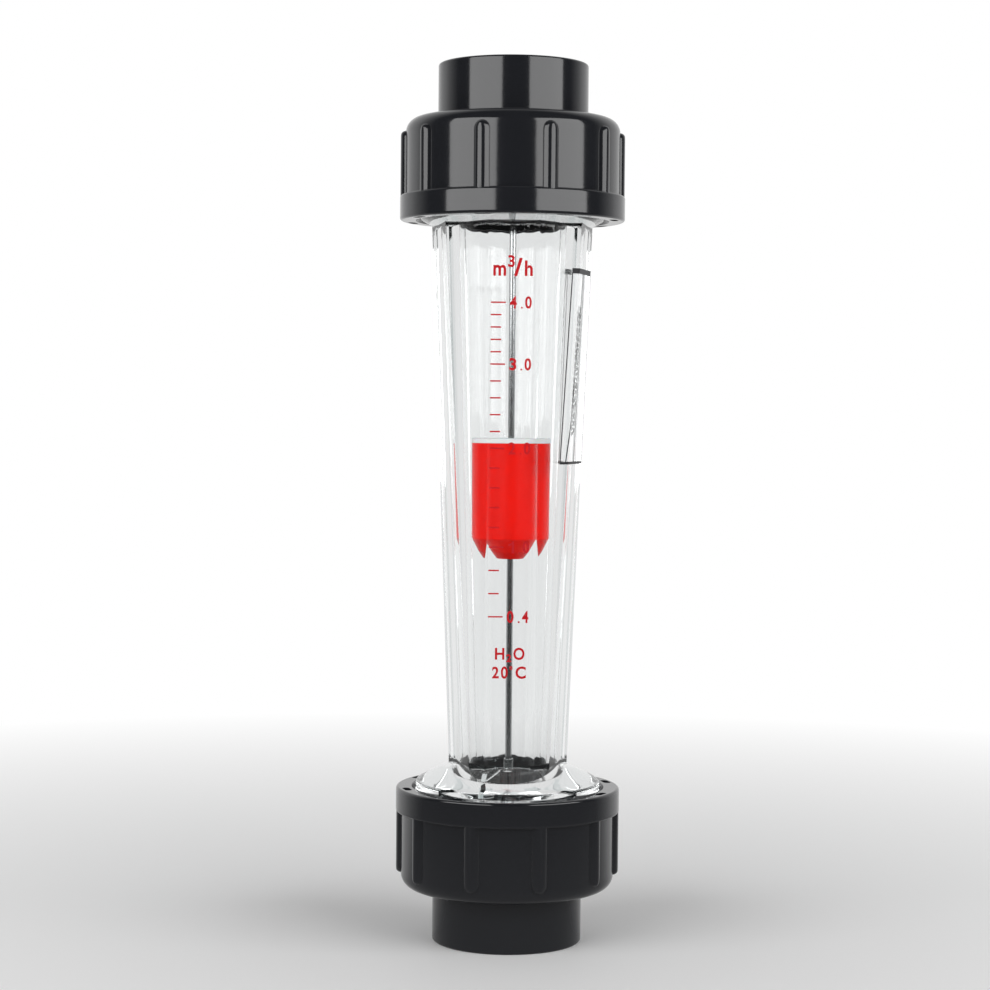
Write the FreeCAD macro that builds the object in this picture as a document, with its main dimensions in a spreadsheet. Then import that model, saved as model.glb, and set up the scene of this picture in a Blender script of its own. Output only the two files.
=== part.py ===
import FreeCAD, Part

import os

import Sketcher

# An in-line plastic-tube rotameter of the 32 mm size, in millimetres. It stands upright
# on its lower pipe socket, with the flow axis on +Z and the printed front face towards -Y.
# Both ends are alike: pipe socket, seal ring and union nut, the upper ones turned over.

SIZES = {
    # whole meter
    "overall_height": 293.0,
    "end_stack": 32.0,  # connector length, from the pipe end to the sealing face
    "seal_gap": 0.3,  # left between connector face and tube face by the squeezed seal
    # pipe socket connector
    "socket_radius": 25.0,
    "socket_bore_radius": 20.0,
    "socket_depth": 26.0,
    "flow_radius": 17.0,
    "collar_radius": 30.4,
    "collar_height": 7.0,
    "socket_mouth_chamfer": 1.0,
    "socket_edge_round": 0.8,
    "collar_edge_round": 0.4,
    # seal ring and its groove
    "seal_mean_radius": 27.3,
    "seal_cord_radius": 1.54,
    "groove_depth": 2.8,
    "groove_half_width": 1.65,
    # union nut, measured from its closed end
    "nut_height": 34.0,
    "nut_start": 18.0,  # height of the closed end above the pipe end
    "nut_end_wall": 6.9,
    "nut_hole_radius": 25.3,
    "nut_body_radius": 35.7,
    "nut_rim_radius": 37.5,
    "nut_rim_height": 8.4,
    "nut_thread_radius": 31.2,
    "nut_mouth_radius": 32.3,
    "nut_mouth_depth": 2.6,
    "nut_shoulder_round": 9.0,
    "nut_rim_round": 1.0,
    "nut_step_round": 0.4,
    "nut_hole_round": 0.6,
    "lower_nut_turn": -2.6,  # where the lower nut came to rest, in degrees
    "rib_count": 10,
    "rib_start_radius": 33.0,
    "rib_top_radius": 37.4,
    "rib_base_half_width": 3.6,
    "rib_draft": 18.0,
    "rib_end_height": 6.6,  # centre of the rib's round end
    "pocket_count": 8,
    "pocket_radius": 34.8,
    "pocket_half_width": 1.2,
    "pocket_half_length": 3.0,
    "pocket_depth": 6.0,
    "pocket_phase": 17.5,
    # measuring tube: ten facets, ruled between two ten-sided sections
    "facet_low": 56.0,
    "facet_high": 241.0,
    "front_half_width": 8.42,  # the printed front face keeps its width all the way up
    "front_low": 17.9,
    "front_high": 25.49,
    "shoulder_x_low": 13.05,
    "shoulder_x_high": 22.46,
    "shoulder_y_low": 14.82,
    "shoulder_y_high": 15.94,
    "side_low": 19.81,
    "side_high": 26.87,
    # measuring tube: threaded end flanges and their cones
    "flange_radius": 30.9,
    "flange_core": 16.0,
    "lower_flange_top": 54.2,
    "lower_cone_top": 59.5,
    "lower_cone_radius": 20.0,
    "upper_cone_foot": 239.45,
    "upper_cone_radius": 26.6,
    "upper_flange_foot": 241.3,
    "flange_round": 2.0,
    # measuring tube: bore, inlet chamber and holder seat
    "chamber_radius": 26.3,
    "chamber_neck_radius": 15.0,
    "chamber_top": 50.0,
    "bore_foot": 58.0,
    "bore_foot_radius": 13.6,
    "bore_top": 243.5,
    "bore_top_radius": 20.35,
    "seat_radius": 26.3,
    # measuring tube: moulded-in lower guide with webs
    "hub_foot": 46.0,
    "hub_radius": 3.2,
    "hub_top": 55.4,
    "sleeve_radius": 2.4,
    "sleeve_top": 61.4,
    "rod_socket_radius": 1.67,
    "web_count": 3,
    "web_foot": 50.4,
    "web_height": 4.1,
    "web_half_width": 0.8,
    "web_reach": 16.5,
    "web_inner_reach": 2.7,
    # guide rod
    "rod_radius": 1.65,
    "rod_foot": 48.0,
    "rod_length": 206.0,
    # upper rod holder
    "holder_foot": 243.6,
    "holder_radius": 26.2,
    "holder_inner_radius": 19.4,
    "holder_top": 260.6,
    "holder_hub_foot": 240.1,
    "holder_hub_radius": 3.6,
    "holder_hub_top": 257.5,
    "holder_rod_stop": 254.2,
    "arm_count": 3,
    "arm_half_width": 1.3,
    "arm_foot": 245.0,
    "arm_height": 11.0,
    "arm_reach": 20.6,
    "arm_inner_reach": 2.6,
    # float, at the reading it is stored at
    "float_foot": 128.8,
    "float_radius": 13.0,
    "float_body_top": 167.3,
    "float_top": 168.9,
    "nose_rise": 6.8,  # the nose narrows in two cones
    "nose_waist_rise": 2.4,
    "nose_waist_radius": 9.4,
    "nose_foot_radius": 6.7,
    "nose_round": 1.2,
    "float_wall": 1.6,
    "float_floor": 2.0,
    "cavity_rise": 7.4,
    "cavity_waist_rise": 3.5,
    "cavity_waist_radius": 8.2,
    "cavity_foot_radius": 6.5,
    "guide_sleeve_radius": 2.4,
    "guide_sleeve_bore": 1.72,
    "weight_top": 142.4,
    "cap_spigot_depth": 2.0,
    "cap_edge_chamfer": 0.4,
    # side label, a film on the tube's right-hand side
    "label_foot": 160.3,
    "label_top": 224.0,
    "label_film": 0.2,
    "label_front_overhang": 1.0,
    "label_back_overhang": 1.0,
}

doc = FreeCAD.newDocument("Rotameter")


def make_sheet():
    sheet = doc.addObject("Spreadsheet::Sheet", "Sizes")
    for row, (alias, size) in enumerate(SIZES.items(), start=1):
        sheet.set(f"A{row}", alias.replace("_", " "))
        sheet.set(f"B{row}", str(size))
        sheet.setAlias(f"B{row}", alias)
    doc.recompute()
    return sheet


sheet = make_sheet()


def cell(expression):
    """Turns plain size names into references to the sheet, such as Sizes.rod_radius."""
    words = expression.replace("(", " ( ").replace(")", " ) ").split()
    return " ".join(f"Sizes.{word}" if word in SIZES else word for word in words)


def size(expression):
    return float(doc.getObject("Sizes").evalExpression(cell(expression)))


def bind(obj, **properties):
    """Binds properties to sheet sizes. A double underscore stands for a dot in the path."""
    for name, expression in properties.items():
        obj.setExpression(name.replace("__", "."), cell(expression))


# Helpers for bodies, sketches and features


def new_body(label):
    body = doc.addObject("PartDesign::Body", label)
    body.Label = label
    return body


def origin_feature(body, role):
    return next(item for item in body.Origin.OriginFeatures if item.Role == role)


def new_sketch(body, name, plane, offset=None):
    sketch = body.newObject("Sketcher::SketchObject", name)
    sketch.AttachmentSupport = (origin_feature(body, plane), [""])
    sketch.MapMode = "FlatFace"
    if offset:
        bind(sketch, AttachmentOffset__Base__z=offset)
    return sketch


def fix_point(sketch, geometry, point, corner):
    """Holds one sketch point at a pair of sizes, or on an axis where a size is 0."""
    for kind, axis, expression in zip(("DistanceX", "DistanceY"), (-2, -1), corner):
        if expression == "0":
            sketch.addConstraint(Sketcher.Constraint("PointOnObject", geometry, point, axis))
            continue
        number = sketch.addConstraint(
            Sketcher.Constraint(kind, -1, 1, geometry, point, size(expression))
        )
        sketch.setExpression(f"Constraints[{number}]", cell(expression))


def draw_outline(sketch, corners):
    """Closed straight-sided outline. Each corner is a pair of expressions of sizes."""
    spots = [FreeCAD.Vector(*[size(expression) for expression in corner], 0) for corner in corners]
    count = len(spots)
    for index, spot in enumerate(spots):
        sketch.addGeometry(Part.LineSegment(spot, spots[(index + 1) % count]), False)
    for index in range(count):
        sketch.addConstraint(
            Sketcher.Constraint("Coincident", index, 2, (index + 1) % count, 1)
        )
    for index, corner in enumerate(corners):
        fix_point(sketch, index, 1, corner)


def revolve(body, name, corners, cut=False):
    """Turns an outline of (radius, height) corners about the flow axis."""
    sketch = new_sketch(body, name + "_outline", "XZ_Plane")
    draw_outline(sketch, corners)
    feature = body.newObject("PartDesign::Groove" if cut else "PartDesign::Revolution", name)
    feature.Profile = sketch
    feature.ReferenceAxis = (sketch, ["V_Axis"])
    feature.Angle = 360
    doc.recompute()
    return feature


def ring_edges(feature, radius, height):
    """Names of the full-circle edges of a size at a height."""
    wanted = (size(radius), size(height))
    names = []
    for number, edge in enumerate(feature.Shape.Edges, start=1):
        curve = edge.Curve
        if not isinstance(curve, Part.Circle):
            continue
        found = (curve.Radius, curve.Center.z)
        if max(abs(a - b) for a, b in zip(found, wanted)) < 1e-4:
            names.append(f"Edge{number}")
    return names


def soften(body, name, kind, base, edges, amount):
    """Rounds or chamfers the ring edges listed as (radius, height)."""
    feature = body.newObject(kind, name)
    chosen = [edge for ring in edges for edge in ring_edges(base, *ring)]
    feature.Base = (base, chosen)
    bind(feature, **{"Radius" if kind.endswith("Fillet") else "Size": amount})
    doc.recompute()
    return feature


def round_edges(body, name, base, edges, amount):
    return soften(body, name, "PartDesign::Fillet", base, edges, amount)


def chamfer_edges(body, name, base, edges, amount):
    return soften(body, name, "PartDesign::Chamfer", base, edges, amount)


def repeat_round_axis(body, name, feature, count):
    pattern = body.newObject("PartDesign::PolarPattern", name)
    pattern.Originals = [feature]
    pattern.Axis = (origin_feature(body, "Z_Axis"), [""])
    pattern.Angle = 360
    bind(pattern, Occurrences=count)
    body.Tip = pattern
    doc.recompute()
    return pattern


def turn_over(obj, height):
    """Stands a piece on its head with its own zero at the given height."""
    obj.Placement = FreeCAD.Placement(
        FreeCAD.Vector(0, 0, size(height)), FreeCAD.Rotation(FreeCAD.Vector(1, 0, 0), 180)
    )
    bind(obj, Placement__Base__z=height)


# End connector: a solvent-cement pipe socket with a collar that the union nut pulls on


def end_connector(label):
    body = new_body(label)
    collar_foot = "end_stack - collar_height"
    blank = revolve(
        body,
        "blank",
        [
            ("socket_bore_radius", "0"),
            ("socket_radius", "0"),
            ("socket_radius", collar_foot),
            ("collar_radius", collar_foot),
            ("collar_radius", "end_stack"),
            ("flow_radius", "end_stack"),
            ("flow_radius", "socket_depth"),
            ("socket_bore_radius", "socket_depth"),
        ],
    )
    groove = revolve(
        body,
        "seal_groove",
        [
            ("seal_mean_radius - groove_half_width", "end_stack - groove_depth"),
            ("seal_mean_radius + groove_half_width", "end_stack - groove_depth"),
            ("seal_mean_radius + groove_half_width", "end_stack + 1"),
            ("seal_mean_radius - groove_half_width", "end_stack + 1"),
        ],
        cut=True,
    )
    mouth = chamfer_edges(
        body, "socket_mouth", groove, [("socket_bore_radius", "0")], "socket_mouth_chamfer"
    )
    edge = round_edges(body, "socket_edge", mouth, [("socket_radius", "0")], "socket_edge_round")
    round_edges(
        body,
        "collar_edges",
        edge,
        [("collar_radius", collar_foot), ("collar_radius", "end_stack")],
        "collar_edge_round",
    )
    return body


def seal_ring(label, height):
    """O-ring in the connector's groove. It ends level with the face of the tube."""
    ring = doc.addObject("Part::Torus", label)
    ring.Label = label
    bind(ring, Radius1="seal_mean_radius", Radius2="seal_cord_radius", Placement__Base__z=height)
    return ring


# Union nut: a rim band at the open end, gripping ribs and a domed closed end


def union_nut(label):
    body = new_body(label)
    rim_foot = "nut_height - nut_rim_height"
    blank = revolve(
        body,
        "blank",
        [
            ("nut_hole_radius", "0"),
            ("nut_body_radius", "0"),
            ("nut_body_radius", rim_foot),
            ("nut_rim_radius", rim_foot),
            ("nut_rim_radius", "nut_height"),
            ("nut_mouth_radius", "nut_height"),
            ("nut_thread_radius", "nut_height - nut_mouth_depth"),
            ("nut_thread_radius", "nut_end_wall"),
            ("nut_hole_radius", "nut_end_wall"),
        ],
    )
    dome = round_edges(body, "dome", blank, [("nut_body_radius", "0")], "nut_shoulder_round")
    rim = round_edges(
        body,
        "rim_edges",
        dome,
        [("nut_rim_radius", "nut_height"), ("nut_rim_radius", rim_foot)],
        "nut_rim_round",
    )
    round_edges(body, "hole_edge", rim, [("nut_hole_radius", "0")], "nut_hole_round")
    add_grip_ribs(body)
    add_rim_pockets(body)
    return body


def add_grip_ribs(body):
    """Drafted ribs with a round end, standing on the nut's side along its axis."""
    sketch = new_sketch(body, "rib_outline", "YZ_Plane", "rib_start_radius")
    half = size("rib_base_half_width")
    foot = size("rib_end_height")
    top = size("nut_height - nut_rim_height + 1")
    corner = FreeCAD.Vector
    sketch.addGeometry(Part.LineSegment(corner(half, foot), corner(half, top)), False)
    sketch.addGeometry(Part.LineSegment(corner(half, top), corner(-half, top)), False)
    sketch.addGeometry(Part.LineSegment(corner(-half, top), corner(-half, foot)), False)
    sketch.addGeometry(
        Part.Arc(corner(-half, foot), corner(0, foot - half), corner(half, foot)), False
    )
    for first, first_end, second, second_end in ((0, 2, 1, 1), (1, 2, 2, 1)):
        sketch.addConstraint(
            Sketcher.Constraint("Coincident", first, first_end, second, second_end)
        )
    sketch.addConstraint(Sketcher.Constraint("Coincident", 2, 2, 3, 1))
    sketch.addConstraint(Sketcher.Constraint("Coincident", 3, 2, 0, 1))
    centre = sketch.addConstraint(Sketcher.Constraint("DistanceY", -1, 1, 3, 3, foot))
    sketch.setExpression(f"Constraints[{centre}]", cell("rib_end_height"))
    fix_point(sketch, 0, 1, ("rib_base_half_width", "rib_end_height"))
    fix_point(sketch, 0, 2, ("rib_base_half_width", "nut_height - nut_rim_height + 1"))
    fix_point(sketch, 2, 1, ("-1 * rib_base_half_width", "nut_height - nut_rim_height + 1"))
    fix_point(sketch, 2, 2, ("-1 * rib_base_half_width", "rib_end_height"))
    rib = body.newObject("PartDesign::Pad", "rib")
    rib.Profile = sketch
    bind(rib, Length="rib_top_radius - rib_start_radius", TaperAngle="-1 * rib_draft")
    doc.recompute()
    repeat_round_axis(body, "ribs", rib, "rib_count")


def add_rim_pockets(body):
    """Oblong coring pockets in the open face, between the rim and the thread."""
    sketch = new_sketch(body, "pocket_outline", "XY_Plane", "nut_height")
    sketch.AttachmentOffset = FreeCAD.Placement(
        FreeCAD.Vector(0, 0, size("nut_height")),
        FreeCAD.Rotation(FreeCAD.Vector(0, 0, 1), size("pocket_phase")),
    )
    inner = size("pocket_radius - pocket_half_width")
    outer = size("pocket_radius + pocket_half_width")
    middle = size("pocket_radius")
    straight = size("pocket_half_length - pocket_half_width")
    tip = size("pocket_half_length")
    corner = FreeCAD.Vector
    sketch.addGeometry(Part.LineSegment(corner(inner, -straight), corner(inner, straight)), False)
    sketch.addGeometry(
        Part.Arc(corner(inner, straight), corner(middle, tip), corner(outer, straight)), False
    )
    sketch.addGeometry(Part.LineSegment(corner(outer, straight), corner(outer, -straight)), False)
    sketch.addGeometry(
        Part.Arc(corner(outer, -straight), corner(middle, -tip), corner(inner, -straight)), False
    )
    side = "pocket_half_length - pocket_half_width"
    fix_point(sketch, 0, 1, ("pocket_radius - pocket_half_width", f"-1 * ( {side} )"))
    fix_point(sketch, 0, 2, ("pocket_radius - pocket_half_width", side))
    fix_point(sketch, 2, 1, ("pocket_radius + pocket_half_width", side))
    fix_point(sketch, 2, 2, ("pocket_radius + pocket_half_width", f"-1 * ( {side} )"))
    pocket = body.newObject("PartDesign::Pocket", "pocket")
    pocket.Profile = sketch
    bind(pocket, Length="pocket_depth")
    doc.recompute()
    repeat_round_axis(body, "pockets", pocket, "pocket_count")


# Measuring tube: moulded in one with its threaded flanges and the lower guide


def facet_sketch(body, name, height, front, shoulder_x, shoulder_y, side):
    """Ten-sided section, alike left and right and front and back."""
    sketch = new_sketch(body, name, "XY_Plane", height)
    half = [
        ("front_half_width", front),
        (shoulder_x, shoulder_y),
        (side, "0"),
        (shoulder_x, f"-1 * {shoulder_y}"),
        ("front_half_width", f"-1 * {front}"),
    ]
    other_half = [(f"-1 * {across}", along) for across, along in reversed(half)]
    draw_outline(sketch, half + other_half)
    return sketch


def add_faceted_wall(body):
    low = facet_sketch(
        body, "lower_section", "facet_low", "front_low", "shoulder_x_low", "shoulder_y_low", "side_low"
    )
    high = facet_sketch(
        body, "upper_section", "facet_high", "front_high", "shoulder_x_high", "shoulder_y_high", "side_high"
    )
    wall = body.newObject("PartDesign::AdditiveLoft", "faceted_wall")
    wall.Profile = low
    wall.Sections = [high]
    wall.Ruled = True
    doc.recompute()


def add_end_flanges(body):
    lower_face = "end_stack + seal_gap"
    upper_face = "overall_height - end_stack - seal_gap"
    lower = revolve(
        body,
        "lower_flange",
        [
            ("flange_core", lower_face),
            ("flange_radius", lower_face),
            ("flange_radius", "lower_flange_top"),
            ("lower_cone_radius", "lower_cone_top"),
            ("flange_core", "lower_cone_top"),
        ],
    )
    upper = revolve(
        body,
        "upper_flange",
        [
            ("flange_core", "upper_cone_foot"),
            ("upper_cone_radius", "upper_cone_foot"),
            ("flange_radius", "upper_flange_foot"),
            ("flange_radius", upper_face),
            ("flange_core", upper_face),
        ],
    )
    round_edges(
        body,
        "flange_rounds",
        upper,
        [("flange_radius", "lower_flange_top"), ("flange_radius", "upper_flange_foot")],
        "flange_round",
    )


def cut_bore(body):
    """Wide inlet cup, throat, tapered measuring bore and the flat seat of the rod holder."""
    before = body.Tip.Shape.Volume
    below = "end_stack - 1"
    above = "overall_height - end_stack + 1"
    revolve(
        body,
        "bore",
        [
            ("0", below),
            ("chamber_radius", below),
            ("chamber_radius", "chamber_top"),
            ("chamber_neck_radius", "chamber_top"),
            ("bore_foot_radius", "bore_foot"),
            ("bore_top_radius", "bore_top"),
            ("seat_radius", "bore_top"),
            ("seat_radius", above),
            ("0", above),
        ],
        cut=True,
    )
    if body.Tip.Shape.Volume > 0.7 * before:
        raise RuntimeError("the bore did not cut the tube")


def add_lower_guide(body):
    """Central hub with a stop sleeve and a blind socket for the rod, carried by thin webs."""
    web_sketch = new_sketch(body, "web_outline", "XY_Plane", "web_foot")
    draw_outline(
        web_sketch,
        [
            ("web_inner_reach", "-1 * web_half_width"),
            ("web_reach", "-1 * web_half_width"),
            ("web_reach", "web_half_width"),
            ("web_inner_reach", "web_half_width"),
        ],
    )
    revolve(
        body,
        "lower_hub",
        [
            ("0", "hub_foot"),
            ("hub_radius", "hub_foot"),
            ("hub_radius", "hub_top"),
            ("sleeve_radius", "hub_top"),
            ("sleeve_radius", "sleeve_top"),
            ("rod_socket_radius", "sleeve_top"),
            ("rod_socket_radius", "rod_foot"),
            ("0", "rod_foot"),
        ],
    )
    web = body.newObject("PartDesign::Pad", "web")
    web.Profile = web_sketch
    bind(web, Length="web_height")
    doc.recompute()
    repeat_round_axis(body, "webs", web, "web_count")


def measuring_tube():
    body = new_body("measuring_tube")
    add_faceted_wall(body)
    add_end_flanges(body)
    cut_bore(body)
    add_lower_guide(body)
    return body


def guide_rod():
    rod = doc.addObject("Part::Cylinder", "guide_rod")
    rod.Label = "guide_rod"
    bind(rod, Radius="rod_radius", Height="rod_length", Placement__Base__z="rod_foot")
    return rod


def upper_rod_holder():
    """Ring in the tube's top seat, with three arms to a hub that takes the rod's end."""
    body = new_body("upper_rod_holder")
    revolve(
        body,
        "ring",
        [
            ("holder_inner_radius", "holder_foot"),
            ("holder_radius", "holder_foot"),
            ("holder_radius", "holder_top"),
            ("holder_inner_radius", "holder_top"),
        ],
    )
    arm_sketch = new_sketch(body, "arm_outline", "XY_Plane", "arm_foot")
    draw_outline(
        arm_sketch,
        [
            ("arm_inner_reach", "-1 * arm_half_width"),
            ("arm_reach", "-1 * arm_half_width"),
            ("arm_reach", "arm_half_width"),
            ("arm_inner_reach", "arm_half_width"),
        ],
    )
    arm = body.newObject("PartDesign::Pad", "arm")
    arm.Profile = arm_sketch
    bind(arm, Length="arm_height")
    doc.recompute()
    repeat_round_axis(body, "arms", arm, "arm_count")
    revolve(
        body,
        "hub",
        [
            ("rod_socket_radius", "holder_hub_foot"),
            ("holder_hub_radius", "holder_hub_foot"),
            ("holder_hub_radius", "holder_hub_top"),
            ("0", "holder_hub_top"),
            ("0", "holder_rod_stop"),
            ("rod_socket_radius", "holder_rod_stop"),
        ],
    )
    return body


# Float: a moulded cup with a steel slug inside, closed by a pale lid, sliding on a sleeve


def float_body():
    body = new_body("float_body")
    cavity_radius = "float_radius - float_wall"
    cavity_foot = "float_foot + float_floor"
    cup = revolve(
        body,
        "cup",
        [
            ("guide_sleeve_radius", "float_foot"),
            ("nose_foot_radius", "float_foot"),
            ("nose_waist_radius", "float_foot + nose_waist_rise"),
            ("float_radius", "float_foot + nose_rise"),
            ("float_radius", "float_body_top"),
            (cavity_radius, "float_body_top"),
            (cavity_radius, "float_foot + cavity_rise"),
            ("cavity_waist_radius", "float_foot + cavity_waist_rise"),
            ("cavity_foot_radius", cavity_foot),
            ("guide_sleeve_radius", cavity_foot),
        ],
    )
    shoulder = ("float_radius", "float_foot + nose_rise")
    waist = ("nose_waist_radius", "float_foot + nose_waist_rise")
    round_edges(body, "nose_rounds", cup, [shoulder, waist], "nose_round")
    return body


def float_weight():
    body = new_body("float_weight")
    slug_radius = "float_radius - float_wall"
    slug_foot = "float_foot + float_floor"
    revolve(
        body,
        "slug",
        [
            ("guide_sleeve_radius", slug_foot),
            ("cavity_foot_radius", slug_foot),
            ("cavity_waist_radius", "float_foot + cavity_waist_rise"),
            (slug_radius, "float_foot + cavity_rise"),
            (slug_radius, "weight_top"),
            ("guide_sleeve_radius", "weight_top"),
        ],
    )
    return body


def float_cap():
    body = new_body("float_cap")
    spigot_radius = "float_radius - float_wall"
    spigot_foot = "float_body_top - cap_spigot_depth"
    lid = revolve(
        body,
        "lid",
        [
            ("guide_sleeve_radius", spigot_foot),
            (spigot_radius, spigot_foot),
            (spigot_radius, "float_body_top"),
            ("float_radius", "float_body_top"),
            ("float_radius", "float_top"),
            ("guide_sleeve_radius", "float_top"),
        ],
    )
    chamfer_edges(body, "lid_edge", lid, [("float_radius", "float_top")], "cap_edge_chamfer")
    return body


def float_guide_sleeve():
    body = new_body("float_guide_sleeve")
    revolve(
        body,
        "sleeve",
        [
            ("guide_sleeve_bore", "float_foot"),
            ("guide_sleeve_radius", "float_foot"),
            ("guide_sleeve_radius", "float_top"),
            ("guide_sleeve_bore", "float_top"),
        ],
    )
    return body


# Side label: a film laid over the facets of the right-hand side, following their edges


def wall_corners(height):
    """Right-hand corners of the tube's section at a height: front, front shoulder, side, back."""
    low, high = size("facet_low"), size("facet_high")
    share = (height - low) / (high - low)

    def between(name):
        return size(f"{name}_low") * (1 - share) + size(f"{name}_high") * share

    shoulder = (between("shoulder_x"), between("shoulder_y"))
    return [
        FreeCAD.Vector(size("front_half_width"), -between("front"), height),
        FreeCAD.Vector(shoulder[0], -shoulder[1], height),
        FreeCAD.Vector(between("side"), 0, height),
        FreeCAD.Vector(shoulder[0], shoulder[1], height),
        FreeCAD.Vector(size("front_half_width"), between("front"), height),
    ]


def label_section(height):
    """Closed outline of the film at a height: along the wall and back at film thickness."""
    front, shoulder, side, back_shoulder, back = wall_corners(height)
    start = shoulder + (front - shoulder).normalize() * size("label_front_overhang")
    end = back_shoulder + (back - back_shoulder).normalize() * size("label_back_overhang")
    inner = [start, shoulder, side, back_shoulder, end]
    outer = []
    for index, spot in enumerate(inner):
        before = inner[max(index - 1, 0)]
        after = inner[min(index + 1, len(inner) - 1)]
        normals = []
        for tail, head in ((before, spot), (spot, after)):
            if (head - tail).Length > 0:
                along = (head - tail).normalize()
                normals.append(FreeCAD.Vector(along.y, -along.x, 0))
        mean = sum(normals, FreeCAD.Vector()).normalize()
        outer.append(spot + mean * (size("label_film") / mean.dot(normals[0])))
    ring = inner + outer[::-1]
    return Part.makePolygon(ring + ring[:1])


def side_label():
    film = doc.addObject("Part::Feature", "side_label")
    film.Label = "side_label"
    sections = [label_section(size("label_foot")), label_section(size("label_top"))]
    film.Shape = Part.makeLoft(sections, True, True)
    film.Placement = FreeCAD.Placement()
    return film


# The meter


def build_meter():
    lower_connector = end_connector("lower_end_connector")
    upper_connector = end_connector("upper_end_connector")
    turn_over(upper_connector, "overall_height")

    seal_height = "end_stack - groove_depth + seal_cord_radius"
    lower_seal = seal_ring("lower_seal_ring", seal_height)
    upper_seal = seal_ring("upper_seal_ring", f"overall_height - ( {seal_height} )")

    lower_nut = union_nut("lower_union_nut")
    lower_nut.Placement.Rotation = FreeCAD.Rotation(
        FreeCAD.Vector(0, 0, 1), size("lower_nut_turn")
    )
    bind(lower_nut, Placement__Base__z="nut_start")
    upper_nut = union_nut("upper_union_nut")
    turn_over(upper_nut, "overall_height - nut_start")

    return [
        lower_connector,
        lower_seal,
        lower_nut,
        measuring_tube(),
        guide_rod(),
        upper_rod_holder(),
        side_label(),
        float_body(),
        float_weight(),
        float_cap(),
        float_guide_sleeve(),
        upper_connector,
        upper_seal,
        upper_nut,
    ]


def check_document():
    failed = [
        obj.Name for obj in doc.Objects if {"Invalid", "Error"} & set(obj.State)
    ]
    if failed:
        raise RuntimeError(f"features that failed: {failed}")


def write_parts(pieces):
    os.makedirs("parts", exist_ok=True)
    for piece in pieces:
        if piece.Shape.isNull() or not piece.Shape.isValid() or len(piece.Shape.Solids) != 1:
            raise RuntimeError(f"{piece.Label} is not one sound solid")
    for piece in pieces:
        piece.Shape.exportStep(f"parts/{piece.Label}.step")
        print(f"{piece.Label}: {piece.Shape.Volume / 1000:.2f} cm3")


pieces = build_meter()
doc.recompute()
check_document()
write_parts(pieces)
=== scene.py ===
import math

import bmesh
import bpy
import numpy as np
from mathutils import Matrix, Vector


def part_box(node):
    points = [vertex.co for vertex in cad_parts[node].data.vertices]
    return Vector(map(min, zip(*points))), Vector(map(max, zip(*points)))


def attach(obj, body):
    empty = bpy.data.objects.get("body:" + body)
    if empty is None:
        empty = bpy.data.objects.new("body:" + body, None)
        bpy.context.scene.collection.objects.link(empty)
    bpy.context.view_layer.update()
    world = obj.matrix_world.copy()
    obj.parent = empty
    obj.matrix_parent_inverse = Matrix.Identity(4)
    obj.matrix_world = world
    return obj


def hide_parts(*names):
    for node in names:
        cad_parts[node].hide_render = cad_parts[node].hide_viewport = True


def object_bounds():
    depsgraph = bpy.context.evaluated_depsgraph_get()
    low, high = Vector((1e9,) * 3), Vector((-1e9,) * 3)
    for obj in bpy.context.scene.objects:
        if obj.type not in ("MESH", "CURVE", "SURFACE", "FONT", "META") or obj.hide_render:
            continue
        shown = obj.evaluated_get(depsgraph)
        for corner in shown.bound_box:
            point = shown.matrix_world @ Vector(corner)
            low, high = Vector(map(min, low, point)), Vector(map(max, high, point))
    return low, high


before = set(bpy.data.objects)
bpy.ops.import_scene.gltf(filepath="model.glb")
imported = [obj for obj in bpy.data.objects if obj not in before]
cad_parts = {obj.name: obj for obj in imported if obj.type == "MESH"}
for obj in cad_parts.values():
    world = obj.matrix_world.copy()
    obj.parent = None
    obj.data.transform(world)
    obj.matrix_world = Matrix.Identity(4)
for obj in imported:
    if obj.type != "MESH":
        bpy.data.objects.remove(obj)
cadBox = [list(corner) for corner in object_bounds()]
mm = 0.001  # in metres; lengths below are in millimetres unless a note says otherwise
print("frame loaded:", len(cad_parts), "nodes")


def nodeSpan(node):
    # foot and top of a node of the frame
    low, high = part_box(node)
    return low.z / mm, high.z / mm


meterHeight = cadBox[1][2] / mm
tubeFoot, tubeTop = nodeSpan("measuring_tube")
floatFoot = nodeSpan("float_body")[0]
floatTop = nodeSpan("float_cap")[1]


def linear(hexText):
    # sRGB hex to linear: c/12.92 under 0.04045, else ((c+0.055)/1.055)^2.4
    parts = [int(hexText[i:i + 2], 16) / 255 for i in (0, 2, 4)]
    plain = [c / 12.92 if c <= 0.04045 else ((c + 0.055) / 1.055) ** 2.4 for c in parts]
    return (*plain, 1.0)


def addNode(tree, kind, settings=None, links=None):
    # settings set sockets or properties by name; links feed sockets from other nodes' outputs
    node = tree.nodes.new(kind)
    for name, value in (settings or {}).items():
        if isinstance(name, int) or name in node.inputs:
            node.inputs[name].default_value = value
        else:
            setattr(node, name, value)
    for name, output in (links or {}).items():
        tree.links.new(output, node.inputs[name])
    return node


def perSize(size):
    # how often a pattern of a real size repeats in a metre, which is what Scale counts
    return 1 / (size * mm)


def startMaterial(name):
    # an empty material and its output node
    material = bpy.data.materials.new(name)
    material.use_nodes = True
    tree = material.node_tree
    tree.nodes.clear()
    output = tree.nodes.new("ShaderNodeOutputMaterial")
    return material, tree, output


def finishSurface(tree, output, shader):
    tree.links.new(shader.outputs[0], output.inputs["Surface"])


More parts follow.
